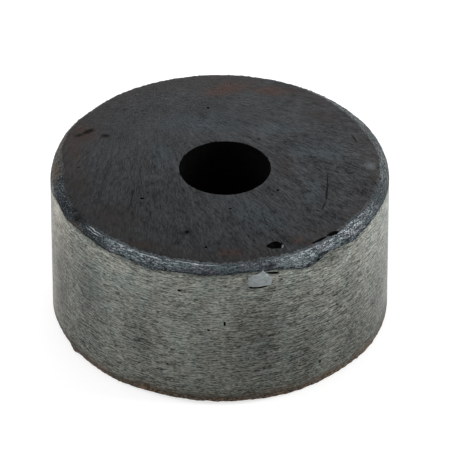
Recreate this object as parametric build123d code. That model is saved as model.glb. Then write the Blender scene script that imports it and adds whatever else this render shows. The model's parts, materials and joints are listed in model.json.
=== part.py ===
from build123d import *
import math
import os

# Center pole magnet: one cast disc with a cored hole through it.
# The outer wall and both ends are ground. Between them each rim keeps a rough band of
# the casting's own rounded edge, wider where the casting stood off centre.
# Millimetres. Origin at the centre of the lower end, +Z up along the wall's axis.
# Angles are in degrees round +Z from +X, and -Y is the front.

# Driving dimensions of the ground body
outer_diameter = 30.0
height = 14.8

# Cored hole, a little off the ground wall's axis
bore_diameter = 8.1
bore_offset_x = 0.45
bore_offset_y = 0.10

# Cast rim bands: how far down the wall and how far in on the end each one reaches
upper_drop = 1.0
upper_inset = 0.8
lower_drop = 0.75
lower_inset = 0.5

# How the bands run round: angle, share of the drop, share of the inset
upper_angle_shares = [
    (-179, 0.95, 1.50),
    (-170, 0.63, 1.35),
    (-162, 0.26, 1.25),
    (-154, 0.62, 1.30),
    (-146, 0.46, 1.08),
    (-138, 0.50, 1.15),
    (-132, 0.68, 1.15),
    (-125, 0.58, 1.15),
    (-119, 0.70, 1.03),
    (-113, 0.90, 1.10),
    (-107, 0.68, 1.13),
    (-101, 0.63, 1.20),
    (-94, 0.69, 0.93),
    (-87, 0.60, 0.91),
    (-80, 0.52, 1.12),
    (-72, 0.62, 1.29),
    (-66, 0.90, 1.15),
    (-60, 1.35, 1.08),
    (-56, 1.15, 1.13),
    (-51, 0.67, 1.15),
    (-45, 0.72, 1.25),
    (-39, 1.03, 1.35),
    (-34, 0.84, 1.40),
    (-29, 0.70, 1.28),
    (-23, 0.62, 1.15),
    (-17, 0.66, 1.13),
    (-11, 0.72, 1.14),
    (-3, 0.88, 1.15),
    (10, 0.74, 1.08),
    (25, 0.56, 1.28),
    (42, 0.52, 1.05),
    (60, 0.55, 0.75),
    (80, 0.55, 0.75),
    (100, 0.58, 0.70),
    (120, 0.55, 0.60),
    (132, 0.62, 0.60),
    (143, 0.74, 0.62),
    (151, 0.52, 0.50),
    (159, 0.60, 0.56),
    (167, 0.70, 0.85),
    (174, 0.85, 1.25),
]
lower_angle_shares = [
    (-176, 0.90, 0.90),
    (-160, 1.20, 1.25),
    (-144, 1.00, 1.10),
    (-129, 0.85, 0.95),
    (-114, 1.15, 1.25),
    (-98, 1.00, 1.10),
    (-80, 0.90, 0.95),
    (-62, 0.85, 0.75),
    (-50, 1.00, 1.00),
    (-40, 1.00, 0.92),
    (-26, 0.75, 0.52),
    (-12, 0.67, 0.48),
    (5, 0.80, 0.60),
    (24, 0.93, 0.84),
    (44, 0.90, 0.95),
    (64, 1.10, 1.10),
    (86, 0.85, 0.90),
    (106, 1.05, 1.20),
    (126, 0.90, 0.85),
    (146, 1.20, 1.15),
    (166, 1.00, 1.00),
]

# Section of a band: part of a quarter ellipse, in straight steps
meeting_angle = 18.0
band_steps = 4

# Blowhole open to the upper end
pore_length = 1.45
pore_width = 0.95
pore_depth = 0.55
pore_from_wall = 2.65
pore_angle = -66.8

# Pinholes in the upper end: angle, distance from the wall, width
pinhole_places = [
    (97, 5.6, 0.26),
    (-81, 8.9, 0.24),
    (-107, 5.1, 0.38),
    (-96, 3.2, 0.26),
    (-146, 6.8, 0.32),
    (-33, 8.9, 0.30),
]
pinhole_depth = 0.20

# Pits in the wall: angle, distance below the upper end, width, height
wall_pit_places = [
    (-103.5, 2.6, 0.36, 0.28),
    (-88.3, 5.9, 0.26, 0.56),
    (-93.7, 6.6, 0.26, 0.26),
    (-54.0, 12.2, 0.36, 0.36),
]
wall_pit_depth = 0.18

# Gouge in the upper end along the band's inner border
gouge_width = 0.32
gouge_from_wall = 1.10
gouge_start = -54.0
gouge_sweep = 12.0

# Flake raised from the wall under the upper band, and how far its foot stands out
flake_angle = -76.3
flake_proud = 0.19
flake_top = 0.52
flake_height = 1.51
flake_outline = [
    (-1.09, 0.19),
    (-0.19, 0.0),
    (0.89, 0.02),
    (1.04, 0.61),
    (0.24, 1.51),
    (-0.28, 1.26),
    (-1.09, 1.03),
]

# Slit beside the flake
slit_length = 1.15
slit_height = 0.14
slit_depth = 0.30
slit_angle = -72.1
slit_drop = 0.88

# Worked out from the above
outer_radius = outer_diameter / 2
bore_radius = bore_diameter / 2
casting_excess = 0.3
cutter_excess = 1.0


def polar(radius, angle, z):
    turn = math.radians(angle)
    return (radius * math.cos(turn), radius * math.sin(turn), z)


def ring(stations, radius_of, z_of):
    """Closed smooth curve round the axis through one point at each station."""
    points = [polar(radius_of(drop, inset), angle, z_of(drop, inset)) for angle, drop, inset in stations]
    turns = [math.radians(angle - stations[0][0]) for angle, drop, inset in stations]
    return Wire([Edge.make_spline(points, periodic=True, parameters=turns + [2 * math.pi])])


def band_section():
    """Points of a band's section from the end to the wall, as shares of its inset and drop."""
    start = math.radians(meeting_angle)
    end = math.pi / 2 - start
    reach = math.sin(end) - math.sin(start)
    turns = [start + (end - start) * step / band_steps for step in range(band_steps + 1)]
    return [
        ((math.sin(end) - math.sin(turn)) / reach, (math.cos(start) - math.cos(turn)) / reach)
        for turn in turns
    ]


def casting(stations, drop_size, inset_size):
    """The casting before grinding, with its uneven rounded edge at the top.

    Its first and last strips run on past the ground end and the ground wall.
    """
    section = band_section()
    first_inset, first_drop = section[1]
    last_inset, last_drop = section[-2]
    lead_in = (1 - first_inset) / first_drop * inset_size / drop_size * casting_excess
    run_out = (1 - last_drop) / last_inset * drop_size / inset_size * casting_excess
    rings = [
        ring(
            stations,
            lambda drop, inset: outer_radius - inset * inset_size - lead_in * inset / drop,
            lambda drop, inset: height + casting_excess,
        )
    ]
    for inset_share, drop_share in section[1:-1]:
        rings.append(
            ring(
                stations,
                lambda drop, inset: outer_radius - inset * inset_size * inset_share,
                lambda drop, inset: height - drop * drop_size * drop_share,
            )
        )
    rings.append(
        ring(
            stations,
            lambda drop, inset: outer_radius + casting_excess,
            lambda drop, inset: height - drop * drop_size - run_out * drop / inset,
        )
    )
    rings.append(
        ring(
            stations,
            lambda drop, inset: outer_radius + casting_excess,
            lambda drop, inset: -casting_excess,
        )
    )
    return Solid.make_loft(rings, ruled=True)


def ground_body():
    """The ground cylinder, kept only where the casting fills it."""
    stock = Cylinder(outer_radius, height, align=(Align.CENTER, Align.CENTER, Align.MIN))
    upper = casting(upper_angle_shares, upper_drop, upper_inset)
    lower = casting(lower_angle_shares, lower_drop, lower_inset)
    lower = lower.mirror(Plane.XY).moved(Location((0, 0, height)))
    return stock & upper & lower


def bore():
    """Cored hole right through."""
    cutter = Cylinder(bore_radius, height + 2 * cutter_excess)
    return Pos(bore_offset_x, bore_offset_y, height / 2) * cutter


def end_plane(angle, from_wall):
    """Plane on the upper end, x to the right of the front."""
    return Plane(origin=polar(outer_radius - from_wall, angle, height))


def wall_plane(angle, z):
    """Plane on the wall, x along it to the right, y up, z outwards."""
    return Plane(
        origin=polar(outer_radius, angle, z),
        x_dir=polar(1, angle + 90, 0),
        z_dir=polar(1, angle, 0),
    )


def pit(place, length, width, depth):
    """Oval hollow centred on a surface."""
    return place * scale(Sphere(1), by=(length / 2, width / 2, depth))


def blowhole():
    """The one large gas hole."""
    return pit(end_plane(pore_angle, pore_from_wall), pore_length, pore_width, pore_depth)


def pinholes():
    """Small gas holes that grinding laid open on the upper end."""
    return [
        pit(end_plane(angle, from_wall), width, width, pinhole_depth)
        for angle, from_wall, width in pinhole_places
    ]


def wall_pits():
    """Small pits that grinding left in the wall."""
    return [
        pit(wall_plane(angle, height - drop), width, tall, wall_pit_depth)
        for angle, drop, width, tall in wall_pit_places
    ]


def gouge():
    """Shallow groove that follows the wall's curve."""
    start = Plane(
        origin=polar(outer_radius - gouge_from_wall, gouge_start, height),
        x_dir=polar(1, gouge_start, 0),
        z_dir=polar(1, gouge_start - 90, 0),
    )
    return revolve(start * Circle(gouge_width / 2), Axis.Z, gouge_sweep)


def flake():
    """Lip of metal whose foot stands out from the wall and whose tip is flush with it."""
    tilt = math.degrees(math.atan2(flake_proud, flake_height))
    foot = wall_plane(flake_angle, height - flake_top - flake_height)
    face = foot * Pos(0, 0, flake_proud) * Rot(-tilt, 0, 0) * Polygon(*flake_outline, align=None)
    return extrude(face, -(flake_proud + slit_depth))


def slit():
    """Narrow opening between the flake and the band."""
    place = wall_plane(slit_angle, height - slit_drop)
    return place * Box(slit_length, slit_height, 2 * slit_depth)


def pole_magnet():
    """The whole magnet."""
    body = ground_body() + flake()
    return body - [bore(), blowhole(), gouge(), slit(), *pinholes(), *wall_pits()]


os.makedirs("parts", exist_ok=True)
magnet = pole_magnet()
export_step(magnet, "parts/pole_magnet.step")
print("pole_magnet", round(magnet.volume, 1), "mm3", magnet.bounding_box())
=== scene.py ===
import json
import math

import bmesh
import bpy
from mathutils import Euler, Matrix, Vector, noise


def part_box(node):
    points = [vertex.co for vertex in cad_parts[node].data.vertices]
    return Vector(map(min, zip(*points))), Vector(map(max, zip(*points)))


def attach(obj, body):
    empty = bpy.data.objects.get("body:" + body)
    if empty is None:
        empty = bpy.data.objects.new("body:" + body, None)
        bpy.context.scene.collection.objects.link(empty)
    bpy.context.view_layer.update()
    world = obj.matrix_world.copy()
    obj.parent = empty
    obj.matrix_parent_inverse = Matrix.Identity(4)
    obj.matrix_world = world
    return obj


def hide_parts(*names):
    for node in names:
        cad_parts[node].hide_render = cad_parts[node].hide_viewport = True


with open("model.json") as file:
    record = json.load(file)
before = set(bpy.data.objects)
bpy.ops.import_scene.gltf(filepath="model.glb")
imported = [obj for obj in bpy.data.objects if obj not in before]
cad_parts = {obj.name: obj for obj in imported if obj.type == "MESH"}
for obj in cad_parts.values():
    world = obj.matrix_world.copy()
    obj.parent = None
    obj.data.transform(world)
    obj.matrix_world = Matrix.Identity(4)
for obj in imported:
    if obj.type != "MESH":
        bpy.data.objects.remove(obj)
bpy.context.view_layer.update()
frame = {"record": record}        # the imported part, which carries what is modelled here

mm = 0.001

# Sizes that the frame gives
lowCorner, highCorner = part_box("pole_magnet")
magnetHeight = highCorner.z - lowCorner.z
outerRadius = (highCorner.x - lowCorner.x) / 2
boreMount = next(mount for mount in frame["record"]["mounts"] if mount["name"] == "bore")
boreRadius = boreMount["dims"]["r_mm"] * mm
boreCentre = Vector((boreMount["pos_m"][0], boreMount["pos_m"][1], 0))
endMiddle = Vector((0, 0, magnetHeight))


def selectOnly(obj):
    bpy.ops.object.select_all(action="DESELECT")
    bpy.context.view_layer.objects.active = obj
    obj.select_set(True)


def startEdit(obj):
    selectOnly(obj)
    bpy.ops.object.mode_set(mode="EDIT")
    bpy.ops.mesh.select_all(action="DESELECT")


def endEdit():
    bpy.ops.object.mode_set(mode="OBJECT")


def pick(obj, kind, test):
    # selects the faces or edges that pass the test
    bpy.ops.mesh.select_mode(type=kind)
    bpy.ops.mesh.select_all(action="DESELECT")
    cage = bmesh.from_edit_mesh(obj.data)
    for part in (cage.faces if kind == "FACE" else cage.edges):
        part.select_set(test(part))
    bmesh.update_edit_mesh(obj.data)


def outward(angle):
    turn = math.radians(angle)
    return Vector((math.cos(turn), math.sin(turn), 0))


def grain(place, size, seed):
    return noise.noise(place / size + Vector((0, 0, seed)))


def twoGrains(place, waves, seed, finerSeed):
    size, finerSize, finerShare = waves
    return grain(place, size, seed) + finerShare * grain(place, finerSize, finerSeed)


# Camera, where the photograph was taken from

view = {
    "distance": 545 * mm,
    "elevation": 36.25,       # degrees above the floor
    "frameWidth": 41.9 * mm,  # what the picture's width takes in at the magnet
    "aimRight": 1.345 * mm,   # the magnet stands a little left of the middle
    "aimUp": 0.08 * mm,
    "sensor": 36,
    "clip": (10 * mm, 10),    # nothing nearer or farther than this is drawn
}


def makeCamera():
    data = bpy.data.cameras.new("viewCamera")
    camera = bpy.data.objects.new("viewCamera", data)
    bpy.context.scene.collection.objects.link(camera)
    tilt = math.radians(view["elevation"])
    aim = Vector((view["aimRight"], 0, magnetHeight / 2))
    aim += Vector((0, math.sin(tilt), math.cos(tilt))) * view["aimUp"]
    camera.location = aim + Vector((0, -math.cos(tilt), math.sin(tilt))) * view["distance"]
    camera.rotation_euler = Euler((math.pi / 2 - tilt, 0, 0))
    data.sensor_width = view["sensor"]
    data.lens = view["sensor"] * view["distance"] / view["frameWidth"]
    data.clip_start, data.clip_end = view["clip"]
    bpy.context.scene.camera = camera


makeCamera()
print("camera ready")


# The magnet's body: a turned blank first, whose rims are then drawn out of true

body = {
    "segments": 960,
    "rimBlank": 1.0 * mm,     # bevel that each cast rim is drawn from
    "rimRows": 16,
    "wallRows": 11,
    "boreRows": 9,
    "boreEdge": 0.07 * mm,    # worn edge of the hole
    "boreRagged": 0.035 * mm, # how unevenly its wall runs
    "endRings": (0.5 * mm, 0.8 * mm, 1.2 * mm, 1.8 * mm, 2.5 * mm, 1.6 * mm, 1.0 * mm),
    "meetingAngle": 18,       # degrees at which a rim meets the ground faces
    "leastReach": 0.15 * mm,  # a rim is nowhere narrower
    "wallRagged": 0.07 * mm,  # how unevenly a rim's borders run
    "endRagged": 0.09 * mm,
    "raggedWaves": (0.9 * mm, 0.32 * mm, 0.8),   # two sizes, and the share of the finer one
    "skinGrain": 0.05 * mm,   # height of the casting's grain on the rims
    "skinWaves": (0.36 * mm, 0.18 * mm, 0.7),
    "boreWaves": 0.8 * mm,    # how long the unevenness of the hole's wall is
    "near": 0.001 * mm,       # closer than this counts as touching
    "smoothAngle": 32,        # degrees, where sharper edges stay sharp
}

# Rims: degrees round the wall, reach down the wall and reach in on the end, in millimetres
upperRim = [
    (-179, 0.95, 1.20), (-170, 0.63, 1.08), (-162, 0.26, 1.00), (-154, 0.62, 1.04),
    (-146, 0.46, 0.86), (-138, 0.50, 0.92), (-132, 0.68, 0.92), (-125, 0.58, 0.92),
    (-119, 0.70, 0.82), (-113, 0.90, 0.88), (-107, 0.68, 0.90), (-101, 0.63, 0.96),
    (-94, 0.69, 0.74), (-87, 0.60, 0.73), (-80, 0.52, 0.90), (-72, 0.62, 1.03),
    (-66, 0.90, 0.92), (-60, 1.35, 0.86), (-56, 1.15, 0.90), (-51, 0.67, 0.92),
    (-45, 0.72, 1.00), (-39, 1.03, 1.08), (-34, 0.84, 1.12), (-29, 0.70, 1.02),
    (-23, 0.62, 0.92), (-17, 0.66, 0.90), (-11, 0.72, 0.91), (-3, 0.88, 0.92),
    (10, 0.74, 0.86), (25, 0.56, 1.02), (42, 0.52, 0.84), (60, 0.55, 0.60),
    (80, 0.55, 0.60), (100, 0.58, 0.56), (120, 0.55, 0.48), (132, 0.62, 0.48),
    (143, 0.74, 0.50), (151, 0.52, 0.40), (159, 0.60, 0.45), (167, 0.70, 0.68), (174, 0.85, 1.00),
]
lowerRim = [
    (-176, 0.68, 0.45), (-160, 0.90, 0.63), (-153.5, 0.82, 0.58), (-150, 0.46, 0.32),
    (-147, 0.76, 0.55), (-139, 0.72, 0.54), (-129, 0.64, 0.48),
    (-114, 0.86, 0.63), (-98, 0.75, 0.55), (-80, 0.68, 0.48), (-62, 0.64, 0.38),
    (-50, 0.75, 0.50), (-40, 0.74, 0.46), (-26, 0.56, 0.26), (-12, 0.50, 0.24),
    (5, 0.60, 0.30), (24, 0.70, 0.42), (44, 0.68, 0.48), (64, 0.83, 0.55),
    (86, 0.64, 0.45), (106, 0.79, 0.60), (126, 0.68, 0.43), (146, 0.90, 0.58), (166, 0.75, 0.50),
]


def readRim(stations, angle, column):
    # smooth curve through the stations, closed on itself, read at one angle
    turned = (angle - stations[0][0]) % 360 + stations[0][0]
    count = len(stations)
    after = next((i for i, station in enumerate(stations) if station[0] > turned), count)
    start = stations[after - 1][0]
    end = stations[after % count][0] + (360 if after == count else 0)
    t = (turned - start) / (end - start)
    a, b, c, d = (stations[(after + step) % count][column] for step in (-2, -1, 0, 1))
    smooth = b + 0.5 * t * (c - a + t * (2 * a - 5 * b + 4 * c - d + t * (3 * (b - c) + d - a)))
    return smooth * mm


def rimReach(stations, angle, seed):
    place = outward(angle) * outerRadius
    runs = []
    for column, ragged in ((1, body["wallRagged"]), (2, body["endRagged"])):
        uneven = twoGrains(place, body["raggedWaves"], seed + column, seed + 5 * column)
        reach = readRim(stations, angle, column) + ragged * uneven
        runs.append(max(reach, body["leastReach"]))
    return runs


def rimSection(share):
    # share 0 is at the wall and 1 at the end; returns shares of the inset and the drop
    start = math.radians(body["meetingAngle"])
    end = math.pi / 2 - start
    reach = math.sin(end) - math.sin(start)
    turn = end + (start - end) * share
    return (math.sin(end) - math.sin(turn)) / reach, (math.cos(start) - math.cos(turn)) / reach


def rimPoint(out, drop, inset, share, upper):
    insetShare, dropShare = rimSection(share)
    place = out * (outerRadius - inset * insetShare)
    level = drop * dropShare
    spot = place + Vector((0, 0, level if upper else -level))
    # grain pushed out square to the rim, fading out at both of its borders
    push = twoGrains(spot, body["skinWaves"], 0, 3) * body["skinGrain"] * math.sin(math.pi * share)
    slope = math.radians(body["meetingAngle"] + share * (90 - 2 * body["meetingAngle"]))
    place += out * push * math.cos(slope)
    level -= push * math.sin(slope)
    place.z = magnetHeight - level if upper else level
    return place


def endPoint(out, inset, radius, z):
    share = (radius - boreRadius) / (outerRadius - body["rimBlank"] - boreRadius)
    place = (boreCentre + out * boreRadius).lerp(out * (outerRadius - inset), share)
    place.z = z
    return place


def borePoint(out, z):
    rough = grain(out * boreRadius + Vector((0, 0, z)), body["boreWaves"], 7)
    place = boreCentre + out * (boreRadius + rough * body["boreRagged"])
    place.z = z
    return place


def drawRims(blank):
    blankRim = body["rimBlank"]
    near = body["near"]
    reaches = {}
    shares = []
    for vertex in blank.data.vertices:
        x, y, z = vertex.co
        radius = math.hypot(x, y)
        angle = round(math.degrees(math.atan2(y, x)), 3)
        out = outward(angle)
        upper = z > magnetHeight / 2
        depth = magnetHeight - z if upper else z
        if angle not in reaches:
            reaches[angle] = (rimReach(lowerRim, angle, 40), rimReach(upperRim, angle, 3))
        drop, inset = reaches[angle][upper]
        # past the rim's borders the share runs on by 1 for each millimetre
        share = 1 + max(outerRadius - blankRim - radius, 0.0) / mm
        if radius < boreRadius + near:
            vertex.co = borePoint(out, z)
        elif depth < near and radius < outerRadius - blankRim - near:
            vertex.co = endPoint(out, inset, radius, z)
        elif depth < blankRim + near:
            turn = math.atan2(blankRim - depth, radius - outerRadius + blankRim)
            share = min(max(turn / (math.pi / 2), 0.0), 1.0)
            vertex.co = rimPoint(out, drop, inset, share, upper)
        else:
            lowDrop, highDrop = reaches[angle][0][0], reaches[angle][1][0]
            along = (z - blankRim) / (magnetHeight - 2 * blankRim)
            vertex.co.z = lowDrop + (magnetHeight - highDrop - lowDrop) * along
            share = (blankRim - depth) / mm
        shares.append(share)
    # kept at the corners of the faces, where cuts carry it on
    rimShare = blank.data.attributes.new("rimShare", "FLOAT", "CORNER")
    rimShare.data.foreach_set("value", [shares[loop.vertex_index] for loop in blank.data.loops])


def turnBlank():
    bpy.ops.mesh.primitive_cylinder_add(
        vertices=body["segments"], radius=outerRadius, depth=magnetHeight,
        location=endMiddle / 2, end_fill_type="NGON")
    blank = bpy.context.object
    blank.name = "magnetBody"
    bpy.ops.object.transform_apply()
    startEdit(blank)
    # both circles are rounded, then the upright edges of the wall are divided
    pick(blank, "EDGE", lambda edge: abs(edge.verts[0].co.z - edge.verts[1].co.z) < body["near"])
    bpy.ops.mesh.bevel(offset=body["rimBlank"], segments=body["rimRows"], profile=0.5)
    pick(blank, "EDGE", lambda edge: edge.calc_length() > magnetHeight / 2)
    bpy.ops.mesh.subdivide(number_cuts=body["wallRows"])
    # rings on both ends, in to the hole, which the bridge then opens
    pick(blank, "FACE", lambda face: len(face.verts) == body["segments"])
    lastRing = outerRadius - body["rimBlank"] - sum(body["endRings"]) - boreRadius
    for width in (*body["endRings"], lastRing):
        bpy.ops.mesh.inset(thickness=width)
    bpy.ops.mesh.delete(type="FACE")
    pick(blank, "EDGE", lambda edge: edge.is_boundary)
    bpy.ops.mesh.bridge_edge_loops(number_cuts=body["boreRows"])
    bpy.ops.mesh.select_all(action="SELECT")
    bpy.ops.mesh.normals_make_consistent(inside=False)
    endEdit()
    return blank


def wearBoreEdges(blank):
    def onEdge(edge):
        return all(
            min(vertex.co.z, magnetHeight - vertex.co.z) < body["near"]
            and (vertex.co.xy - boreCentre.xy).length < boreRadius + 2 * body["boreRagged"]
            for vertex in edge.verts)
    startEdit(blank)
    pick(blank, "EDGE", onEdge)
    bpy.ops.mesh.bevel(offset=body["boreEdge"], segments=2, profile=0.6)
    endEdit()


magnetBody = turnBlank()
drawRims(magnetBody)
wearBoreEdges(magnetBody)
print("body turned and its rims drawn:", len(magnetBody.data.polygons), "faces")


# Materials

def newMaterial(name):
    material = bpy.data.materials.new(name)
    material.use_nodes = True
    tree = material.node_tree
    return material, tree, tree.nodes["Principled BSDF"]


def plug(tree, value, socket):
    if isinstance(value, bpy.types.NodeSocket):
        tree.links.new(value, socket)
    else:
        socket.default_value = value


def add(tree, kind, inputs=None, **settings):
    made = tree.nodes.new("ShaderNode" + kind)
    for name, value in settings.items():
        setattr(made, name, value)
    for key, value in (inputs or {}).items():
        plug(tree, value, made.inputs[key])
    return made


def finish(tree, shader, inputs):
    # a fixed number goes on the shader's own socket, a pattern is linked to it
    for name, value in inputs.items():
        plug(tree, value, shader.inputs[name])


def maths(tree, operation, first, second=0.0):
    return add(tree, "Math", {0: first, 1: second}, operation=operation).outputs[0]


def times(tree, first, second):
    return maths(tree, "MULTIPLY", first, second)


def plus(tree, first, second):
    return maths(tree, "ADD", first, second)


def larger(tree, first, second):
    return maths(tree, "MAXIMUM", first, second)


def blended(tree, first, second, share):
    # the first pattern with that share and the second with the rest
    return plus(tree, times(tree, first, share), times(tree, second, 1 - share))


def vectorMaths(tree, operation, inputs, output="Vector"):
    return add(tree, "VectorMath", inputs, operation=operation).outputs[output]


def ranged(tree, value, low, high, toLow=0.0, toHigh=1.0):
    inputs = {"Value": value, "From Min": low, "From Max": high, "To Min": toLow, "To Max": toHigh}
    return add(tree, "MapRange", inputs).outputs["Result"]


def swing(tree, pattern, spread, reach):
    # the middle run of a noise, from minus to plus that reach
    return ranged(tree, pattern, 0.5 - spread, 0.5 + spread, -reach, reach)


def mixed(tree, share, first, second, blend="MIX"):
    made = add(tree, "Mix", {0: share}, data_type="RGBA", blend_type=blend)
    for slot, value in ((6, first), (7, second)):
        plug(tree, (*value, 1) if isinstance(value, tuple) else value, made.inputs[slot])
    return made.outputs[2]


def dimmed(tree, colour, share):
    return mixed(tree, share, (0, 0, 0), colour)


def objectPlace(tree):
    return add(tree, "TexCoord").outputs["Object"]


def rimShareOf(tree):
    return add(tree, "Attribute", attribute_name="rimShare").outputs["Fac"]


def noiseOf(tree, place, size, detail, roughness, scale=None):
    # size is about how wide one blot is; scale draws it out into lines
    if scale:
        place = add(tree, "Mapping", {"Vector": place, "Scale": scale}).outputs["Vector"]
    inputs = {"Vector": place, "Scale": 1 / size, "Detail": detail, "Roughness": roughness}
    return add(tree, "TexNoise", inputs).outputs["Fac"]


def partsOf(tree, place):
    return add(tree, "SeparateXYZ", {0: place}).outputs


def wandering(tree, place, size, reach):
    # the same coordinates, pushed about by up to that reach
    colour = add(tree, "TexNoise", {"Vector": place, "Scale": 1 / size, "Detail": 2}).outputs["Color"]
    centred = vectorMaths(tree, "SUBTRACT", {0: colour, 1: (0.5, 0.5, 0.5)})
    push = vectorMaths(tree, "SCALE", {0: centred, "Scale": 2 * reach})
    return vectorMaths(tree, "ADD", {0: place, 1: push})


def distanceOut(tree, place):
    # how far from the wall's axis
    flat = vectorMaths(tree, "MULTIPLY", {0: place, 1: (1, 1, 0)})
    return vectorMaths(tree, "LENGTH", {0: flat}, "Value")


def ownPlace(tree, place, middle, turn, scale=(1, 1, 1)):
    # coordinates from a middle of their own, turned by degrees round the vertical
    rotation = (0, 0, math.radians(turn))
    inputs = {"Vector": place, "Location": middle, "Rotation": rotation, "Scale": scale}
    return add(tree, "Mapping", inputs, vector_type="TEXTURE").outputs["Vector"]


def spots(tree, place, places):
    # soft ovals: middle, half sizes, turn in degrees and strength of each
    total = None
    for middle, half, turn, strength in places:
        local = ownPlace(tree, place, middle, turn, half)
        oval = add(tree, "TexGradient", {"Vector": local}, gradient_type="SPHERICAL").outputs["Fac"]
        oval = times(tree, oval, strength)
        total = oval if total is None else larger(tree, total, oval)
    return total


spotDepth = {"end": 1, "wall": 6}   # how far the ovals of stains reach into the metal, in millimetres


def endSpots(rows):
    # x, y, half length, half width, turn and strength, on the upper end
    ovals = []
    for x, y, halfX, halfY, turn, strength in rows:
        middle = Vector((x * mm, y * mm, magnetHeight))
        ovals.append((middle, Vector((halfX, halfY, spotDepth["end"])) * mm, turn, strength))
    return ovals


def wallSpots(rows):
    # degrees round, height, half length along the wall, half height and strength
    ovals = []
    for angle, z, along, up, strength in rows:
        middle = outward(angle) * outerRadius + Vector((0, 0, z * mm))
        ovals.append((middle, Vector((spotDepth["wall"], along, up)) * mm, angle, strength))
    return ovals


def bumped(tree, height, strength, distance):
    inputs = {"Height": height, "Strength": strength, "Distance": distance}
    return add(tree, "Bump", inputs).outputs["Normal"]


wall = {
    "dark": (0.022, 0.025, 0.021),
    "pale": (0.450, 0.466, 0.425),
    "fibre": (0.600, 0.620, 0.550),
    "bluish": (0.230, 0.290, 0.295),
    "edge": (0.640, 0.630, 0.590),
    "peach": (1.07, 0.95, 0.86),
    "brown": (0.195, 0.115, 0.062),
    "crumb": (0.030, 0.034, 0.032),
    "coolTint": (0.955, 1.0, 0.985),
    "warmTint": (1.0, 0.980, 0.955),
    # noises: size of a blot, detail, roughness and how it is drawn out
    "long": (1.15 * mm, 2, 0.6, (1, 1, 11)),
    "short": (0.29 * mm, 2, 0.7, (1, 1, 3.8)),
    "hair": (0.50 * mm, 1, 0.5, (1, 1, 5)),
    "cloud": (3.6 * mm, 2, 0.5, (1, 1, 0.8)),
    "patches": (1.6 * mm, 2, 0.6, (1, 1, 0.7)),
    "crumbs": (0.5 * mm, 2, 0.7),
    # wanderings: how long the waves are and how far they push
    "waver": (2.2 * mm, 0.07 * mm),
    "stray": (2 * mm, 0.9 * mm),
    "bluishStray": (1.5 * mm, 0.8 * mm),
    "darkPatchAndShadeSpots": wallSpots([
        (-75, 6.8, 3.8, 8.0, 1.1), (-61, 4.0, 4.4, 6.0, 1.0), (-141, 8.0, 3.4, 8.0, 1.0),
        (-119, 6.5, 2.0, 5.0, 0.4), (-38, 3.0, 5.4, 5.4, 1.0), (-22, 5.0, 4.0, 6.0, 1.0),
        (-158, 5.0, 3.2, 9.0, 1.3), (-60, 10.8, 3.0, 3.4, 0.6), (-150, 3.0, 4.0, 4.6, 0.8),
        (-88, 5.5, 1.4, 4.0, 0.2), (-41, 8.6, 2.4, 4.5, 0.8), (-18, 1.0, 6.0, 1.8, 1.4),
        (-84, 1.2, 5.0, 1.8, 0.3), (-148, 11.6, 1.8, 2.2, 0.8), (-156, 0.8, 5.0, 1.8, 1.6),
        (-8, 0.8, 5.0, 1.8, 1.4), (-38, 0.8, 3.0, 1.4, 0.8), (-50, 13.4, 3.0, 1.6, 1.5),
        (-38, 13.4, 2.0, 1.4, 0.5)]),
    "palePatchSpots": wallSpots([
        (-104, 7.5, 2.8, 9.0, 1.0), (-90, 9.5, 2.2, 5.6, 1.3), (-128, 13.4, 3.4, 1.4, 0.6),
        (-26, 8.5, 3.0, 4.5, 0.5), (-96, 12.8, 4.4, 2.4, 0.9), (-95, 3.0, 3.6, 3.2, 0.7),
        (-51, 11.6, 3.0, 2.0, 0.5), (-78, 11.6, 3.2, 2.4, 0.9), (-91, 4.6, 2.0, 5.0, 0.8)]),
    "bluishSpots": wallSpots([
        (-136, 9.5, 2.2, 3.5, 0.8), (-122, 11.5, 2.5, 1.8, 0.6), (-84, 12.2, 5, 1.2, 0.5)]),
    "edgeHighlightSpots": wallSpots([(-163, 13.4, 1.6, 1.3, 0.7), (-161, 14.2, 1.8, 0.35, 1.3)]),
    "warmEdgeReflectionSpots": wallSpots([(-178, 7.4, 9.0, 40.0, 1.0)]),
}


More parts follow.
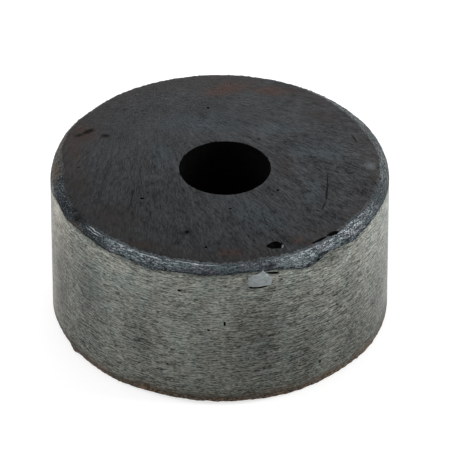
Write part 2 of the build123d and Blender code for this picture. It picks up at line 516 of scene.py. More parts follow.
def groundWall():
    material, tree, shader = newMaterial("groundWall")
    place = objectPlace(tree)
    across, _, height = partsOf(tree, place)
    wavy = wandering(tree, place, *wall["waver"])
    astray = wandering(tree, place, *wall["stray"])
    long = noiseOf(tree, wavy, *wall["long"])
    short = noiseOf(tree, wavy, *wall["short"])
    hair = noiseOf(tree, wavy, *wall["hair"])
    cloud = noiseOf(tree, place, *wall["cloud"])
    patches = noiseOf(tree, place, *wall["patches"])
    lines = blended(tree, long, short, 0.48)
    # darker patches, partly painted shade: those low along the foot stand for the shade near the floor;
    # and paler patches
    darkPatchAndShade = spots(tree, astray, wall["darkPatchAndShadeSpots"])
    palePatches = spots(tree, astray, wall["palePatchSpots"])
    tone = maths(tree, "SUBTRACT", times(tree, palePatches, 0.55), darkPatchAndShade)
    clouded = plus(tree, lines, swing(tree, cloud, 0.2, 0.012))
    clouded = plus(tree, clouded, times(tree, tone, 0.022))
    colour = mixed(tree, ranged(tree, clouded, 0.395, 0.605), wall["dark"], wall["pale"])
    colour = mixed(tree, ranged(tree, hair, 0.60, 0.70, 0.0, 0.75), colour, wall["fibre"])
    bluish = spots(tree, wandering(tree, place, *wall["bluishStray"]), wall["bluishSpots"])
    colour = mixed(tree, times(tree, bluish, 0.45), colour, wall["bluish"])
    # painted highlight: pale streaks on the wall near its left edge, just under the rim
    edge = spots(tree, place, wall["edgeHighlightSpots"])
    edge = times(tree, edge, ranged(tree, lines, 0.42, 0.56, 0.35, 0.95))
    colour = mixed(tree, edge, colour, wall["edge"])
    # painted reflection: a warm tint on the wall towards its left edge
    colour = mixed(tree, spots(tree, astray, wall["warmEdgeReflectionSpots"]), colour, wall["peach"], "MULTIPLY")
    tint = mixed(tree, ranged(tree, patches, 0.36, 0.64), wall["coolTint"], wall["warmTint"])
    colour = mixed(tree, 1.0, colour, tint, "MULTIPLY")
    # brown stain along the foot; then painted light and shade: the wall darker on its lower half and
    # lighter near the top, darker under the dark patches and lighter under the pale ones
    foot = plus(tree, height, swing(tree, cloud, 0.2, 0.4 * mm))
    foot = ranged(tree, foot, 1.5 * mm, 0.7 * mm)
    stain = times(tree, foot, ranged(tree, short, 0.62, 0.42, 0.2, 0.9))
    colour = mixed(tree, stain, colour, wall["brown"])
    lowLight = ranged(tree, height, 1 * mm, 9.5 * mm, 0.56, 0.74)
    light = plus(tree, lowLight, ranged(tree, height, 9.5 * mm, 13.6 * mm, 0.0, 0.23))
    light = times(tree, light, plus(tree, 1.0, times(tree, tone, 0.34)))
    colour = dimmed(tree, colour, light)
    # crumbs of dark skin left under the rim, fewer on the right
    ragged = swing(tree, noiseOf(tree, place, *wall["crumbs"]), 0.15, 0.16)
    crumbs = ranged(tree, plus(tree, rimShareOf(tree), ragged), -0.44, -0.02)
    crumbs = times(tree, crumbs, ranged(tree, across, -14.8 * mm, -12.6 * mm, 1.0, 0.60))
    crumbs = times(tree, crumbs, ranged(tree, across, 4 * mm, 10 * mm, 1.0, 0.45))
    colour = mixed(tree, crumbs, colour, wall["crumb"])
    finish(tree, shader, {
        "Base Color": colour,
        "Roughness": ranged(tree, lines, 0.35, 0.65, 0.46, 0.34),
        "Specular IOR Level": ranged(tree, height, 0.9 * mm, 3.2 * mm, 0.03, 0.10),
        "Normal": bumped(tree, lines, 0.6, 0.03 * mm),
    })
    return material


end = {
    # where the grinding lines fan out from, and the degrees that they are measured from
    "wheel": (endMiddle + Vector((-7.5, 13.5, 0)) * mm, -61),
    "crossWheel": (endMiddle + Vector((13.0, 15.0, 0)) * mm, -131),
    "fanRadius": 18 * mm,    # where the lines are as wide as their noise says
    "dark": (0.0055, 0.0060, 0.0067),
    "pale": (0.0770, 0.0810, 0.0865),
    "bluish": (0.0590, 0.0780, 0.0900),
    "rust": (0.0900, 0.0400, 0.0240),
    "brown": (0.0385, 0.0285, 0.0250),
    "smudge": (0.150, 0.170, 0.180),
    "fringe": (0.1050, 0.1200, 0.1300),
    "black": (0.002, 0.002, 0.002),
    # noises: size of a blot, detail, roughness and how it is drawn out
    "fine": (0.115 * mm, 2, 0.65, (1, 0.15, 1)),
    "wide": (0.50 * mm, 3, 0.6, (1, 0.16, 1)),
    "hatch": (0.125 * mm, 2, 0.6, (1, 0.16, 1)),
    "speck": (0.145 * mm, 2, 0.75),
    "cloud": (3.2 * mm, 3, 0.6),
    "patch": (1.1 * mm, 2, 0.5),
    "crumbs": (0.22 * mm, 2, 0.7),
    # wanderings: how long the waves are and how far they push
    "waver": (3 * mm, 0.12 * mm),
    "stray": (1.1 * mm, 0.5 * mm),
    "markStray": (0.5 * mm, 0.07 * mm),
    "bluishSpots": endSpots([
        (3.5, -7.3, 4.0, 2.6, -40, 0.9), (8.2, -3.6, 1.4, 3.0, 0, 0.7),
        (8.5, 2.5, 3.6, 2.2, -15, 0.6), (-5.0, 2.0, 1.6, 2.4, 0, 0.7), (-1.5, 7.0, 5.0, 2.2, 0, 0.6),
        (5.0, 6.0, 3.0, 1.6, 0, 0.5)]),
    "rustSpots": endSpots([
        (0.5, 12.3, 3.2, 1.3, 20, 1.0), (4.4, 12.0, 2.3, 1.1, -8, 0.9),
        (0.8, -12.6, 1.5, 0.9, 10, 0.95), (6.9, -10.7, 0.8, 0.7, 0, 0.9),
        (8.0, -11.3, 0.6, 0.5, 20, 0.6), (-12.9, 3.0, 0.9, 5.0, 0, 0.45),
        (12.1, -6.4, 0.6, 0.5, 0, 0.7), (-7.0, -11.4, 2.3, 0.7, -12, 0.3),
        (-12.2, 5.6, 1.8, 2.2, 30, 0.55)]),
    "brownSpots": endSpots([
        (6.6, 12.0, 2.6, 1.0, -15, 0.8), (9.3, 8.1, 2.6, 1.3, -20, 0.8),
        (-12.6, -2.5, 1.8, 3.6, 0, 0.8), (-9.4, -7.6, 3.4, 2.6, -35, 0.8),
        (-6.8, -11.3, 2.8, 1.2, -12, 0.9), (5.6, 0.2, 1.2, 2.2, 0, 0.6),
        (13.4, -1.5, 0.5, 0.9, 0, 1.0), (-12.4, 4.6, 1.7, 2.4, 30, 0.9)]),
    "smudgeSpots": endSpots([(13.42, 0.52, 0.70, 0.76, 10, 0.7)]),
    "fringeSpots": wallSpots([
        (-128, 14.8, 4.5, 1, 0.9), (-113, 14.8, 4.5, 1, 1.1), (-97, 14.8, 4.5, 1, 1.1),
        (-84, 14.8, 4.0, 1, 0.7), (-65, 14.8, 4.5, 1, 1.1), (-48, 14.8, 4.5, 1, 0.9),
        (-30, 14.8, 4.5, 1, 0.7), (-14, 14.8, 3.5, 1, 0.5)]),
    "darkMarks": endSpots([
        (-12.5, 5.10, 0.75, 0.36, 20, 1.0), (-11.7, 5.65, 0.85, 0.46, 38, 1.2),
        (-10.19, 4.96, 0.56, 0.42, 10, 1.2), (-12.5, 0.13, 0.28, 0.2, 0, 1.0),
        (9.50, -1.6, 0.08, 1.5, -2, 1.5), (9.42, -3.6, 0.13, 1.8, -4, 2.0),
        (9.14, -5.55, 0.10, 1.0, -15, 1.6), (11.98, 4.57, 0.11, 0.85, 24, 1.4),
        (-7.75, -4.6, 0.06, 2.9, -7, 1.4), (-6.95, -1.5, 0.04, 1.6, 6, 1.0),
        (11.6, -0.7, 0.4, 0.2, 0, 1.0), (3.46, 4.49, 0.3, 0.25, 0, 1.0),
        (4.2, -7.6, 0.06, 1.3, 42, 1.2), (-3.1, -4.4, 0.05, 1.8, 22, 1.1),
        (-2.0, -9.0, 0.05, 2.0, 14, 1.0), (-2.95, -9.6, 0.8, 0.6, 30, 0.9),
        (6.6, -8.9, 0.05, 1.2, 35, 1.0)]),
}


def fanned(tree, place, wheel):
    # coordinates round a grinding wheel's middle: across the lines, and along them
    local = ownPlace(tree, place, *wheel)
    x, y, _ = partsOf(tree, local)
    across = times(tree, maths(tree, "ARCTAN2", y, x), end["fanRadius"])
    along = vectorMaths(tree, "LENGTH", {0: local}, "Value")
    return along, add(tree, "CombineXYZ", {0: across, 1: along, 2: 0.0}).outputs[0]


def groundEnd():
    material, tree, shader = newMaterial("groundEnd")
    place = objectPlace(tree)
    x, y, _ = partsOf(tree, place)
    along, fan = fanned(tree, wandering(tree, place, *end["waver"]), end["wheel"])
    _, cross = fanned(tree, place, end["crossWheel"])
    fine = noiseOf(tree, fan, *end["fine"])
    wide = noiseOf(tree, fan, *end["wide"])
    hatch = noiseOf(tree, cross, *end["hatch"])
    speck = noiseOf(tree, place, *end["speck"])
    cloud = noiseOf(tree, place, *end["cloud"])
    patch = noiseOf(tree, place, *end["patch"])
    # the lines die away close to where they fan out from
    streaks = blended(tree, fine, wide, 0.65)
    grainy = blended(tree, speck, hatch, 0.65)
    share = ranged(tree, along, 4.5 * mm, 12 * mm, 0.10, 0.66)
    rest = times(tree, grainy, maths(tree, "SUBTRACT", 1.0, share))
    lines = plus(tree, times(tree, streaks, share), rest)
    gain = ranged(tree, x, -9 * mm, 8 * mm, 1.20, 1.42)
    gain = times(tree, gain, ranged(tree, y, 1 * mm, 8 * mm, 1.0, 0.76))
    tone = times(tree, maths(tree, "SUBTRACT", lines, 0.5), gain)
    tone = plus(tree, plus(tree, tone, 0.5), swing(tree, cloud, 0.2, 0.028))
    tone = plus(tree, tone, swing(tree, patch, 0.2, 0.015))
    colour = mixed(tree, ranged(tree, tone, 0.36, 0.66), end["dark"], end["pale"])
    astray = wandering(tree, place, *end["stray"])
    bluish = times(tree, spots(tree, astray, end["bluishSpots"]), ranged(tree, tone, 0.40, 0.56))
    colour = mixed(tree, times(tree, bluish, 1.1), colour, end["bluish"])
    halo = ranged(tree, distanceOut(tree, place), 11.5 * mm, 14.2 * mm)
    halo = times(tree, halo, ranged(tree, cloud, 0.35, 0.6))
    brown = larger(tree, spots(tree, astray, end["brownSpots"]), times(tree, halo, 0.6))
    colour = mixed(tree, times(tree, brown, 0.75), colour, end["brown"])
    rust = times(tree, spots(tree, astray, end["rustSpots"]), ranged(tree, speck, 0.35, 0.6))
    colour = mixed(tree, times(tree, rust, 0.85), colour, end["rust"])
    smudge = times(tree, spots(tree, astray, end["smudgeSpots"]), ranged(tree, speck, 0.3, 0.5))
    colour = mixed(tree, smudge, colour, end["smudge"])
    marks = spots(tree, wandering(tree, place, *end["markStray"]), end["darkMarks"])
    colour = mixed(tree, ranged(tree, marks, 0.1, 0.8), colour, end["black"])
    # painted shade: darker towards the front left, away from the back lamp's broad highlight
    level = plus(tree, y, times(tree, x, 0.45))
    colour = dimmed(tree, colour, ranged(tree, level, -14.8 * mm, 8 * mm, 0.44, 1.0))
    # light flecks of the rim's skin that reach in past its border
    ragged = swing(tree, noiseOf(tree, place, *end["crumbs"]), 0.15, 0.17)
    fringe = ranged(tree, plus(tree, rimShareOf(tree), ragged), 1.22, 1.04)
    fringe = times(tree, fringe, spots(tree, place, end["fringeSpots"]))
    colour = mixed(tree, fringe, colour, end["fringe"])
    finish(tree, shader, {
        "Base Color": colour,
        "Roughness": ranged(tree, lines, 0.35, 0.65, 0.58, 0.42),
        "Specular IOR Level": 0.05,
        "Normal": bumped(tree, lines, 0.5, 0.02 * mm),
    })
    return material


rim = {
    "dark": (0.0090, 0.0120, 0.0150),
    "teal": (0.0920, 0.1350, 0.1440),
    "violet": (0.1200, 0.1260, 0.1500),
    "glintWhite": (0.560, 0.620, 0.660),
    "black": (0.0022, 0.0022, 0.0026),
    "grey": (0.1120, 0.1190, 0.1160),
    "face": (0.0300, 0.0290, 0.0295),
    "chalk": (0.1500, 0.1850, 0.1870),
    "brown": (0.1100, 0.0780, 0.0540),
    # noises: size of a blot, detail and roughness
    "pits": (0.20 * mm, 2, 0.7),
    "coarse": (0.70 * mm, 2, 0.6),
    "sparks": (0.16 * mm, 1, 0.5),
    "cloud": (1.6 * mm, 2, 0.5),
    # wanderings: how long the waves are and how far they push
    "waver": (0.5 * mm, 0.12 * mm),
    "blackStray": (0.4 * mm, 0.1 * mm),
    "width": 6.4 * mm,       # the rim's grain takes it to be this wide, which draws it out along the rim
    "highlightSpots": wallSpots([
        (-128, 14.4, 2.2, 3, 1.1), (-120, 14.4, 3.0, 3, 1.2), (-111, 14.4, 3.0, 3, 1.2),
        (-100, 14.4, 3.2, 3, 0.4), (-88, 14.4, 3.5, 3, 0.35), (-68, 14.4, 2.2, 3, 0.5),
        (-59, 14.4, 3.0, 3, 1.4), (-48, 14.4, 3.2, 3, 1.5), (-37, 14.4, 3.2, 3, 1.4),
        (-26, 14.4, 2.4, 3, 0.8), (4, 14.6, 5, 3, 0.35), (35, 14.6, 6, 3, 0.35)]),
    "rimShadeSpots": wallSpots([
        (-158, 14.4, 5.6, 3, 1.5), (-176, 14.6, 5.0, 3, 1.5), (-142, 14.4, 3.4, 3, 1.2),
        (165, 14.6, 5.0, 3, 0.8), (-79, 14.6, 3.4, 3, 0.35), (-14, 14.4, 3.6, 3, 0.4),
        (-140, 14.8, 2.6, 0.15, 0.6), (-100, 14.8, 2.6, 0.15, 0.7), (-75, 14.8, 2.2, 0.15, 0.6),
        (-48, 14.8, 1.8, 0.15, 0.7), (-30, 14.8, 2.4, 0.15, 0.7)]),
    "chalkSpots": wallSpots([(-62, 14.05, 2.2, 0.8, 1.3), (-67.5, 14.55, 1.4, 0.5, 0.9)]),
    # painted highlight lines along the rim's ridges: share of the way across, and where each one shows
    "ridgeHighlightLines": [
        (0.66, wallSpots([(-139.8, 14.6, 1.15, 1.0, 1.8)])),
        (0.86, wallSpots([
            (-139.8, 14.6, 1.15, 1.0, 1.8), (-127, 14.6, 1.6, 1.0, 0.9), (-116, 14.6, 2.0, 1.0, 1.0),
            (-98, 14.6, 2.2, 1.0, 2.2), (-60, 14.6, 2.0, 1.0, 0.8), (-44, 14.6, 2.0, 1.0, 0.8)])),
    ],
    "leftDashHighlightSpots": wallSpots([(-171, 14.4, 1.6, 1.4, 1.3)]),
    "greySpots": wallSpots([
        (-158, 14.4, 7.0, 3, 1.2), (4, 14.4, 8.0, 3, 1.0), (35, 14.4, 9.0, 3, 1.3)]),
    "blackSpots": wallSpots([
        (-58.3, 13.62, 0.6, 0.22, 1.5), (-55, 13.85, 0.9, 0.30, 1.6), (-52, 14.20, 0.9, 0.22, 1.4),
        (-48, 14.15, 1.0, 0.18, 1.3), (-44, 14.15, 0.9, 0.16, 1.2), (-41, 14.10, 0.5, 0.25, 1.6),
        (-36, 13.95, 0.8, 0.22, 1.3), (-28, 14.05, 0.7, 0.25, 1.2), (-84, 14.15, 1.4, 0.14, 1.2),
        (-95, 14.20, 1.2, 0.14, 1.0), (-72.5, 14.50, 0.9, 0.16, 1.1), (-69.5, 14.15, 0.6, 0.14, 1.2),
        (-119, 14.1, 1.4, 0.2, 0.8), (-149.5, 14.72, 1.0, 0.36, 1.8), (-153, 14.85, 0.8, 0.30, 1.5),
        (-146, 14.80, 0.6, 0.20, 1.2), (-137, 14.35, 1.0, 0.16, 1.0)]),
    "brownSpots": wallSpots([
        (178, 14.3, 3.2, 0.6, 1.0), (165, 14.6, 4.5, 0.5, 0.8), (148, 14.6, 6, 0.4, 0.7),
        (100, 14.6, 6, 0.4, 0.4), (-172, 13.9, 1.6, 0.22, 0.7), (-147.5, 14.38, 1.4, 0.22, 0.7)]),
}


def alongRim(tree, place, share):
    # coordinates that run round the rim and are drawn together across it
    flat = vectorMaths(tree, "MULTIPLY", {0: place, 1: (1, 1, 0)})
    out = vectorMaths(tree, "NORMALIZE", {0: flat})
    onWall = vectorMaths(tree, "SCALE", {0: out, "Scale": outerRadius})
    across = add(tree, "CombineXYZ", {2: times(tree, share, rim["width"])}).outputs[0]
    return vectorMaths(tree, "ADD", {0: onWall, 1: across})


def castRim():
    material, tree, shader = newMaterial("castRim")
    place = objectPlace(tree)
    share = rimShareOf(tree)
    along = wandering(tree, alongRim(tree, place, share), *rim["waver"])
    pits = noiseOf(tree, along, *rim["pits"])
    coarse = noiseOf(tree, along, *rim["coarse"])
    sparks = noiseOf(tree, along, *rim["sparks"])
    cloud = noiseOf(tree, place, *rim["cloud"])
    skin = blended(tree, pits, coarse, 0.62)
    # painted highlights: pale flecks where the rim catches the lamps, strongest at the front left and
    # front right and towards the end
    highlightAmount = spots(tree, place, rim["highlightSpots"])
    highlightAmount = plus(tree, highlightAmount, ranged(tree, cloud, 0.3, 0.7, -0.15, 0.20))
    inner = times(tree, ranged(tree, share, 0.15, 0.70, 0.25, 1.0), ranged(tree, share, 1.0, 0.93))
    colour = mixed(tree, ranged(tree, cloud, 0.4, 0.6), rim["teal"], rim["violet"])
    colour = mixed(tree, spots(tree, place, rim["greySpots"]), colour, rim["grey"])
    colour = mixed(tree, ranged(tree, skin, 0.40, 0.66), rim["dark"], colour)
    chalk = times(tree, spots(tree, place, rim["chalkSpots"]), ranged(tree, pits, 0.38, 0.5))
    colour = mixed(tree, times(tree, chalk, 0.75), colour, rim["chalk"])
    fleckGlints = times(tree, ranged(tree, skin, 0.52, 0.61), times(tree, highlightAmount, inner))
    colour = mixed(tree, fleckGlints, colour, rim["glintWhite"])
    # painted shade: darker where the rim turns away from the lamps, and dark lines along its border with
    # the end
    dull = ranged(tree, pits, 0.66, 0.46, 0.45, 1.0)
    colour = mixed(tree, times(tree, spots(tree, place, rim["rimShadeSpots"]), dull), colour, rim["dark"])
    # painted highlights: small glints all over, lines along the ridges, and pale dashes at the left edge
    glints = times(tree, ranged(tree, sparks, 0.63, 0.70), 0.50)
    for middle, places in rim["ridgeHighlightLines"]:
        off = maths(tree, "ABSOLUTE", maths(tree, "SUBTRACT", share, middle))
        ridgeGlint = times(tree, ranged(tree, off, 0.045, 0.018, 0.0, 0.6), spots(tree, place, places))
        ridgeGlint = times(tree, ridgeGlint, ranged(tree, coarse, 0.36, 0.52))
        glints = larger(tree, glints, ridgeGlint)
    dashGlints = times(tree, ranged(tree, share, 0.32, 0.16), ranged(tree, pits, 0.50, 0.58, 0.0, 0.6))
    dashGlints = times(tree, spots(tree, place, rim["leftDashHighlightSpots"]), dashGlints)
    colour = mixed(tree, larger(tree, glints, dashGlints), colour, rim["glintWhite"])
    brown = spots(tree, place, rim["brownSpots"])
    brown = times(tree, brown, ranged(tree, pits, 0.35, 0.6, 0.4, 1.0))
    colour = mixed(tree, brown, colour, rim["brown"])
    # the inner border is worn away unevenly into the ground end
    ragged = plus(tree, share, swing(tree, skin, 0.15, 0.12))
    colour = mixed(tree, ranged(tree, ragged, 0.94, 1.0, 0.0, 0.7), colour, rim["face"])
    # painted shade: black spots that stand for crevices, and a black line where the rim meets the wall
    black = spots(tree, wandering(tree, place, *rim["blackStray"]), rim["blackSpots"])
    black = larger(tree, black, ranged(tree, ragged, 0.16, 0.06, 0.0, 0.9))
    black = times(tree, black, ranged(tree, pits, 0.66, 0.5, 0.3, 1.0))
    colour = mixed(tree, black, colour, rim["black"])
    finish(tree, shader, {
        "Base Color": colour,
        "Roughness": ranged(tree, skin, 0.35, 0.65, 0.5, 0.3),
        "Specular IOR Level": ranged(tree, fleckGlints, 0.0, 1.0, 0.05, 0.6),
        "Normal": bumped(tree, skin, 0.8, 0.05 * mm),
    })
    return material


lowRim = {
    "dark": (0.022, 0.017, 0.014),
    "pale": (0.180, 0.138, 0.104),
    "rust": (0.290, 0.170, 0.092),
    "pits": (0.24 * mm, 2, 0.6),
    "cloud": (1.3 * mm, 2, 0.5),
}


def lowerRimSkin():
    material, tree, shader = newMaterial("lowerRimSkin")
    place = objectPlace(tree)
    pits = noiseOf(tree, place, *lowRim["pits"])
    cloud = noiseOf(tree, place, *lowRim["cloud"])
    # rustier at the left
    rust = ranged(tree, partsOf(tree, place)[0], -8 * mm, 6 * mm, 0.9, 0.3)
    rust = times(tree, ranged(tree, cloud, 0.38, 0.6), rust)
    colour = mixed(tree, rust, lowRim["pale"], lowRim["rust"])
    colour = mixed(tree, ranged(tree, pits, 0.40, 0.62), lowRim["dark"], colour)
    finish(tree, shader, {
        "Base Color": colour,
        "Roughness": 0.6,
        "Specular IOR Level": 0.05,
        "Normal": bumped(tree, pits, 0.7, 0.05 * mm),
    })
    return material


# nearly black: painted shade, standing in for the dark deep inside the hole
bore = {
    "dark": (0.0006, 0.0006, 0.0006),
    "pale": (0.0022, 0.0021, 0.0020),
    "skin": (0.5 * mm, 3, 0.6),
}


def coredBore():
    material, tree, shader = newMaterial("coredBore")
    skin = noiseOf(tree, objectPlace(tree), *bore["skin"])
    colour = mixed(tree, ranged(tree, skin, 0.35, 0.65), bore["dark"], bore["pale"])
    finish(tree, shader, {
        "Base Color": colour,
        "Roughness": 0.9,
        "Specular IOR Level": 0.03,
        "Normal": bumped(tree, skin, 0.6, 0.1 * mm),
    })
    return material


def dressBody(obj):
    makers = {
        "wall": groundWall,
        "end": groundEnd,
        "upperRim": castRim,
        "lowerRim": lowerRimSkin,
        "bore": coredBore,
    }
    slots = {}
    for name, make in makers.items():
        slots[name] = len(obj.data.materials)
        obj.data.materials.append(make())
    shares = [0.0] * len(obj.data.loops)
    obj.data.attributes["rimShare"].data.foreach_get("value", shares)
    for face in obj.data.polygons:
        faceShares = [shares[index] for index in face.loop_indices]
        if (face.center.xy - boreCentre.xy).length < boreRadius + body["boreEdge"] / 2:
            kind = "bore"
        elif min(faceShares) > 0.999 or abs(face.normal.z) > 0.9999:
            kind = "end"
        elif max(faceShares) < 0.001:
            kind = "wall"
        else:
            kind = "upperRim" if face.center.z > magnetHeight / 2 else "lowerRim"
        face.material_index = slots[kind]


dressBody(magnetBody)
print("ground and cast surfaces dressed")


# Gas holes, pits, gouge and slit, cut with lumpy tools, and the flake that stands out of the wall

hollows = {
    # On the upper end: x, y, length, width, depth, turn, and share of the width kept on the front side.
    # The first is the blowhole and the last two are the gouge.
    "pores": [
        (4.88, -11.62, 1.58, 1.34, 0.70, 0, 0.5), (-1.08, 9.33, 0.26, 0.25, 0.18, 0, 1),
        (0.93, -6.04, 0.23, 0.23, 0.16, 0, 1), (-2.84, -9.51, 0.34, 0.36, 0.16, 20, 1),
        (-1.19, -11.76, 0.27, 0.27, 0.20, 0, 1), (-6.82, -4.51, 0.38, 0.28, 0.16, 10, 1),
        (5.11, -3.26, 0.30, 0.30, 0.20, 0, 1), (9.86, -9.74, 1.16, 0.50, 0.34, 38, 1),
        (8.68, -10.72, 1.72, 0.30, 0.24, 39, 1)],
    "dents": [(-11.78, 5.60, 1.05, 0.36, 0.12, 36, 1), (-10.24, 4.99, 0.40, 0.32, 0.10, 20, 1)],
    # On the wall: degrees round, height, length, height of the mark, depth and lean.
    # The last two are the slit beside the flake and the gap under its foot.
    "walls": [
        (-103.5, 12.2, 0.30, 0.22, 0.18, 0), (-88.3, 8.9, 0.22, 0.46, 0.18, 0),
        (-93.7, 8.2, 0.26, 0.20, 0.18, 0), (-54.0, 2.6, 0.26, 0.26, 0.18, 0),
        (-72.1, 13.9, 1.20, 0.24, 0.34, -14), (-77.4, 12.63, 1.70, 0.34, 0.24, -4)],
    "lumps": 0.20,           # strength and waves of the noise that puts a tool out of round
    "lumpWaves": 1.7,
    "poreSkin": (0.12 * mm, 2, 0.6),
    # the hollows' colours are nearly black: painted shade inside the pores, gouge, slit and the gap
    # under the flake's foot
    "poreDark": (0.0008, 0.0008, 0.0008),
    "porePale": (0.0050, 0.0042, 0.0036),
    "glint": (0.30, 0.34, 0.36),
    "glintSpots": endSpots([(5.42, -11.44, 0.22, 0.18, 0, 2.6)]),
    "dentSkin": (0.15 * mm, 2, 0.6),
    "dentDark": (0.0080, 0.0060, 0.0060),
    "dentPale": (0.0280, 0.0200, 0.0175),
}


def openPore():
    material, tree, shader = newMaterial("openPore")
    place = objectPlace(tree)
    skin = noiseOf(tree, place, *hollows["poreSkin"])
    colour = mixed(tree, ranged(tree, skin, 0.4, 0.75), hollows["poreDark"], hollows["porePale"])
    glint = times(tree, spots(tree, place, hollows["glintSpots"]), ranged(tree, skin, 0.42, 0.55))
    colour = mixed(tree, glint, colour, hollows["glint"])
    finish(tree, shader, {"Base Color": colour, "Roughness": 0.8, "Specular IOR Level": 0.06})
    return material


def dentSkin():
    material, tree, shader = newMaterial("dentSkin")
    skin = noiseOf(tree, objectPlace(tree), *hollows["dentSkin"])
    colour = mixed(tree, ranged(tree, skin, 0.35, 0.65), hollows["dentDark"], hollows["dentPale"])
    finish(tree, shader, {"Base Color": colour, "Roughness": 0.7, "Specular IOR Level": 0.05})
    return material


def lumpyTool(location, half, rotation, front, seed):
    bpy.ops.mesh.primitive_ico_sphere_add(subdivisions=4, radius=1)
    tool = bpy.context.object
    for vertex in tool.data.vertices:
        lump = noise.noise(vertex.co * hollows["lumpWaves"] + Vector((seed, 0, 0)))
        vertex.co *= 1 + hollows["lumps"] * lump
        if vertex.co.y < 0:
            vertex.co.y *= front
    tool.scale = half
    tool.rotation_euler = rotation
    tool.location = location
    bpy.ops.object.transform_apply()
    return tool


def makeTools():
    pore, dent = openPore(), dentSkin()
    tools = []
    for kind, material in (("pores", pore), ("dents", dent)):
        for x, y, length, width, depth, turn, front in hollows[kind]:
            place = Vector((x * mm, y * mm, magnetHeight))
            half = Vector((length / 2, width / 2, depth)) * mm
            tool = lumpyTool(place, half, Euler((0, 0, math.radians(turn))), front, len(tools))
            tool.data.materials.append(material)
            tools.append(tool)
    for angle, z, length, tall, depth, lean in hollows["walls"]:
        place = outward(angle) * outerRadius + Vector((0, 0, z * mm))
        half = Vector((depth, length / 2, tall / 2)) * mm
        turned = Euler((math.radians(lean), 0, math.radians(angle)))
        tool = lumpyTool(place, half, turned, 1, len(tools))
        tool.data.materials.append(pore)
        tools.append(tool)
    bpy.ops.object.select_all(action="DESELECT")
    for tool in tools:
        tool.select_set(True)
    bpy.context.view_layer.objects.active = tools[0]
    bpy.ops.object.join()
    tools[0].name = "hollowTools"
    return tools[0]


flake = {
    "angle": -76.3,
    "foot": 12.77 * mm,      # height of its lower edge
    "proud": 0.22 * mm,      # how far its foot stands out of the wall
    "tip": 0.06 * mm,        # how far its pointed top still stands out
    "thickness": 0.5 * mm,
    "edge": 0.05 * mm,       # rounding of its edges
    # outline along the wall and up, in millimetres, from the lower left
    "outline": [
        (-1.09, 0.19), (-0.62, 0.06), (-0.19, 0.0), (0.35, 0.03), (0.89, 0.02), (0.98, 0.32),
        (1.04, 0.61), (0.62, 1.08), (0.24, 1.51), (0.0, 1.37), (-0.28, 1.26), (-0.68, 1.21),
        (-1.09, 1.03), (-1.12, 0.60)],
    "skin": (0.30 * mm, 3, 0.65, (1, 1, 1.6)),
    "cloud": (0.9 * mm, 1, 0.5),
    "dark": (0.20, 0.228, 0.228),
    "pale": (0.42, 0.470, 0.470),
    "violet": (0.31, 0.33, 0.36),
}


def flakeMetal():
    material, tree, shader = newMaterial("flakeMetal")
    place = objectPlace(tree)
    skin = noiseOf(tree, place, *flake["skin"])
    cloud = noiseOf(tree, place, *flake["cloud"])
    colour = mixed(tree, ranged(tree, skin, 0.35, 0.65), flake["dark"], flake["pale"])
    colour = mixed(tree, ranged(tree, cloud, 0.45, 0.7, 0.0, 0.5), colour, flake["violet"])
    # painted shade: a little darker towards its foot, where its edge curls out
    height = partsOf(tree, place)[2]
    tip = ranged(tree, height, flake["foot"] + 0.2 * mm, flake["foot"] + 1.3 * mm, 0.82, 1.0)
    finish(tree, shader, {
        "Base Color": dimmed(tree, colour, tip),
        "Roughness": 0.45,
        "Normal": bumped(tree, skin, 0.4, 0.04 * mm),
    })
    return material


def makeFlake():
    outline = flake["outline"]
    bpy.ops.mesh.primitive_circle_add(vertices=len(outline), radius=1 * mm, fill_type="NGON")
    piece = bpy.context.object
    top = max(up for along, up in outline)
    for vertex, (along, up) in zip(piece.data.vertices, outline):
        stand = flake["tip"] + (flake["proud"] - flake["tip"]) * (1 - up / top)
        vertex.co = Vector((outerRadius + stand, along * mm, flake["foot"] + up * mm))
    piece.rotation_euler = (0, 0, math.radians(flake["angle"]))
    bpy.ops.object.transform_apply()
    inward = -outward(flake["angle"]) * flake["thickness"]
    startEdit(piece)
    bpy.ops.mesh.select_all(action="SELECT")
    bpy.ops.mesh.extrude_region_move(TRANSFORM_OT_translate={"value": inward})
    bpy.ops.mesh.select_all(action="SELECT")
    bpy.ops.mesh.normals_make_consistent(inside=False)
    bpy.ops.mesh.bevel(offset=flake["edge"], segments=2, profile=0.6)
    endEdit()
    piece.name = "wallFlake"
    piece.data.materials.append(flakeMetal())
    return piece


def cutWith(obj, tool, operation):
    boolean = obj.modifiers.new("cut", "BOOLEAN")
    boolean.operation = operation
    boolean.solver = "EXACT"
    boolean.material_mode = "TRANSFER"
    boolean.object = tool
    selectOnly(obj)
    bpy.ops.object.modifier_apply(modifier=boolean.name)
    bpy.data.objects.remove(tool)


cutWith(magnetBody, makeFlake(), "UNION")
cutWith(magnetBody, makeTools(), "DIFFERENCE")
selectOnly(magnetBody)
bpy.ops.object.shade_smooth_by_angle(angle=math.radians(body["smoothAngle"]))
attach(magnetBody, "root")
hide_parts("pole_magnet")
print("hollows cut:", len(magnetBody.data.polygons), "faces")


# Floor and light

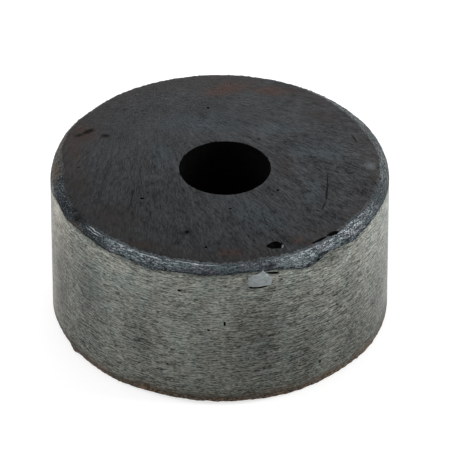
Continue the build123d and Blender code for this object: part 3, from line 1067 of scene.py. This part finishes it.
studio = {
    "worldStrength": 0.50,
    "floorColour": (0.50, 0.50, 0.50),
    "floorGlow": 0.66,       # seen straight or mirrored only, so that the floor reads white
    "floorSize": 6,
    "lamps": {
        # place in metres, width and height in metres, and power in watts
        "leftSoftbox": ((-0.55, 0.02, 0.36), (0.26, 0.26), 1.9),
        "rightSoftbox": ((0.56, 0.02, 0.30), (0.26, 0.26), 2.7),
        "backSoftbox": ((0.05, 0.60, 0.50), (0.5, 0.2), 0.5),
    },
}


def rayShare(tree, kinds):
    # 1 for a ray of any of these kinds and 0 for the rest
    path = add(tree, "LightPath")
    share = 0.0
    for kind in kinds:
        share = larger(tree, share, path.outputs[f"Is {kind} Ray"])
    return share


def makeFloor():
    bpy.ops.mesh.primitive_plane_add(size=studio["floorSize"])
    floor = bpy.context.object
    floor.name = "studioFloor"
    material, tree, shader = newMaterial("floorPaper")
    glow = times(tree, rayShare(tree, ("Camera", "Glossy")), studio["floorGlow"])
    finish(tree, shader, {
        "Base Color": (*studio["floorColour"], 1),
        "Roughness": 0.9,
        "Emission Color": (1, 1, 1, 1),
        "Emission Strength": glow,
    })
    floor.data.materials.append(material)


def makeWorld():
    world = bpy.data.worlds.new("studioWorld")
    bpy.context.scene.world = world
    world.use_nodes = True
    tree = world.node_tree
    seen = rayShare(tree, ("Camera", "Glossy", "Transmission"))
    finish(tree, tree.nodes["Background"], {
        "Color": (1, 1, 1, 1),
        "Strength": ranged(tree, seen, 0, 1, studio["worldStrength"], 1.0),
    })


def hangLamps():
    for name, (place, size, power) in studio["lamps"].items():
        data = bpy.data.lights.new(name, "AREA")
        data.shape = "RECTANGLE"
        data.size, data.size_y = size
        data.energy = power
        lamp = bpy.data.objects.new(name, data)
        lamp.location = place
        aim = endMiddle / 2 - Vector(place)
        lamp.rotation_euler = aim.to_track_quat("-Z", "Y").to_euler()
        bpy.context.scene.collection.objects.link(lamp)


makeFloor()
makeWorld()
hangLamps()
bpy.context.scene.view_settings.view_transform = "Standard"
print("studio ready")
